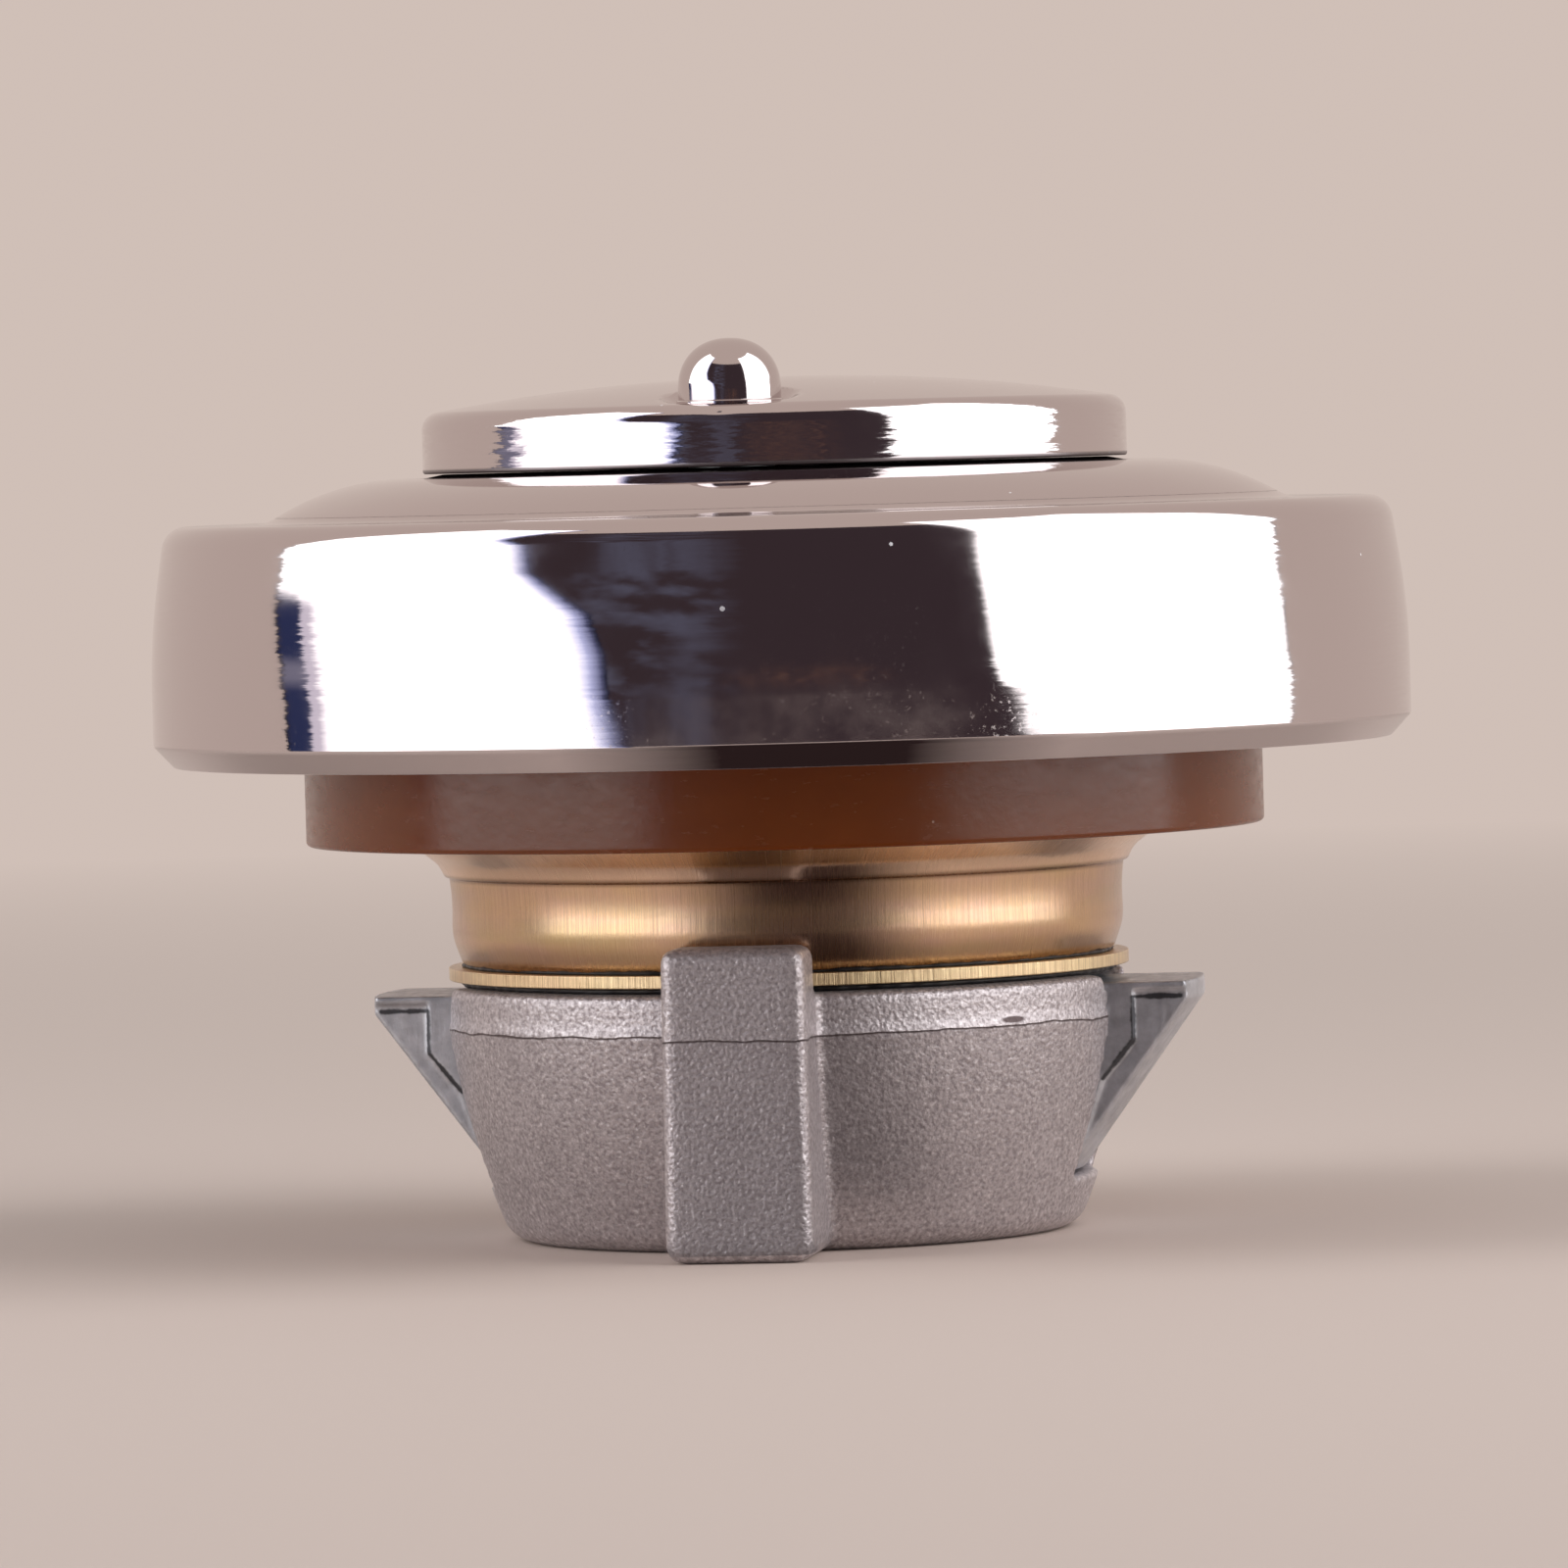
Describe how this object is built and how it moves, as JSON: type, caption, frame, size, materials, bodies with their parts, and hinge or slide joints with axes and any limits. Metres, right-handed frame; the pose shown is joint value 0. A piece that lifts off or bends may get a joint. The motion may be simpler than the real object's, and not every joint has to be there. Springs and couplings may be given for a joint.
{
  "type": "locking fuel tank cap",
  "caption": "Round chromed locking cap for a fuel tank neck: domed cover with a keyhole shutter, deep gasket, and a cast latch housing with two sprung pawls.",
  "frame": {"origin": "centre of the latch housing's foot, on the cap's axis, at the lowest level of the cap", "axes": "+Z along the cap's axis towards the keyhole shutter, -Y towards the lug below the shutter's stud, +X towards the right pawl"},
  "size_m": [0.095, 0.095, 0.0675],
  "materials": {
    "chrome": "polished chrome plate on steel",
    "yellow_zinc": "yellow-passivated zinc plate on steel, satin",
    "brown_rubber": "moulded brown rubber, semi-matt",
    "black_rubber": "matt black rubber",
    "cast_alloy": "die-cast, bead-blasted",
    "cast_zinc": "die-cast zinc, bright, tumbled",
    "spring_steel": "bright spring steel",
    "steel": "plain plated steel",
    "brass": "turned brass",
    "felt": "grey wool felt"
  },
  "bodies": {
    "cap_body": {"outer_cover": "chrome", "shutter_stud": "chrome", "sealing_cup": "yellow_zinc", "lid_plate": "yellow_zinc", "neck_gasket": "brown_rubber", "lid_seal": "black_rubber", "barrel_seal": "black_rubber", "latch_housing": "cast_alloy", "left_pawl_spring": "spring_steel", "right_pawl_spring": "spring_steel", "stud_spring_washer": "spring_steel", "barrel_nut": "steel", "housing_screws": "steel", "stud_backing_washer": "steel", "stud_spacer": "steel", "lock_barrel": "cast_zinc", "breather_felt": "felt"},
    "shutter": {"shutter": "chrome"},
    "key_plug": {"lock_plug": "brass", "plug_wafers": "brass", "plug_clip": "spring_steel", "latch_cam": "steel"},
    "left_latch": {"left_pawl": "cast_zinc"},
    "right_latch": {"right_pawl": "cast_zinc"}
  },
  "joints": [
    {"name": "shutter_swing", "type": "hinge", "parent": "cap_body", "child": "shutter", "pos_m": [-0.0003, -0.0214, 0], "axis": [0, 0, 1], "continuous": true},
    {"name": "key_turn", "type": "hinge", "parent": "cap_body", "child": "key_plug", "pos_m": [0, 0, 0], "axis": [0, 0, 1], "range_deg": [0, 90]},
    {"name": "right_pawl_slide", "type": "slide", "parent": "cap_body", "child": "right_latch", "axis": [-1, 0, 0], "range_m": [0, 0.0056], "stiffness_N_per_m": 30, "springref_m": -0.012, "deforming": ["right_pawl_spring"]},
    {"name": "left_pawl_slide", "type": "slide", "parent": "cap_body", "child": "left_latch", "axis": [1, 0, 0], "range_m": [0, 0.0056], "deforming": ["left_pawl_spring"]}
  ],
  "couplings": [
    {"joint": "key_turn", "follows": "right_pawl_slide", "rad_per_m": 280.5},
    {"joint": "left_pawl_slide", "follows": "right_pawl_slide", "ratio": 1}
  ]
}
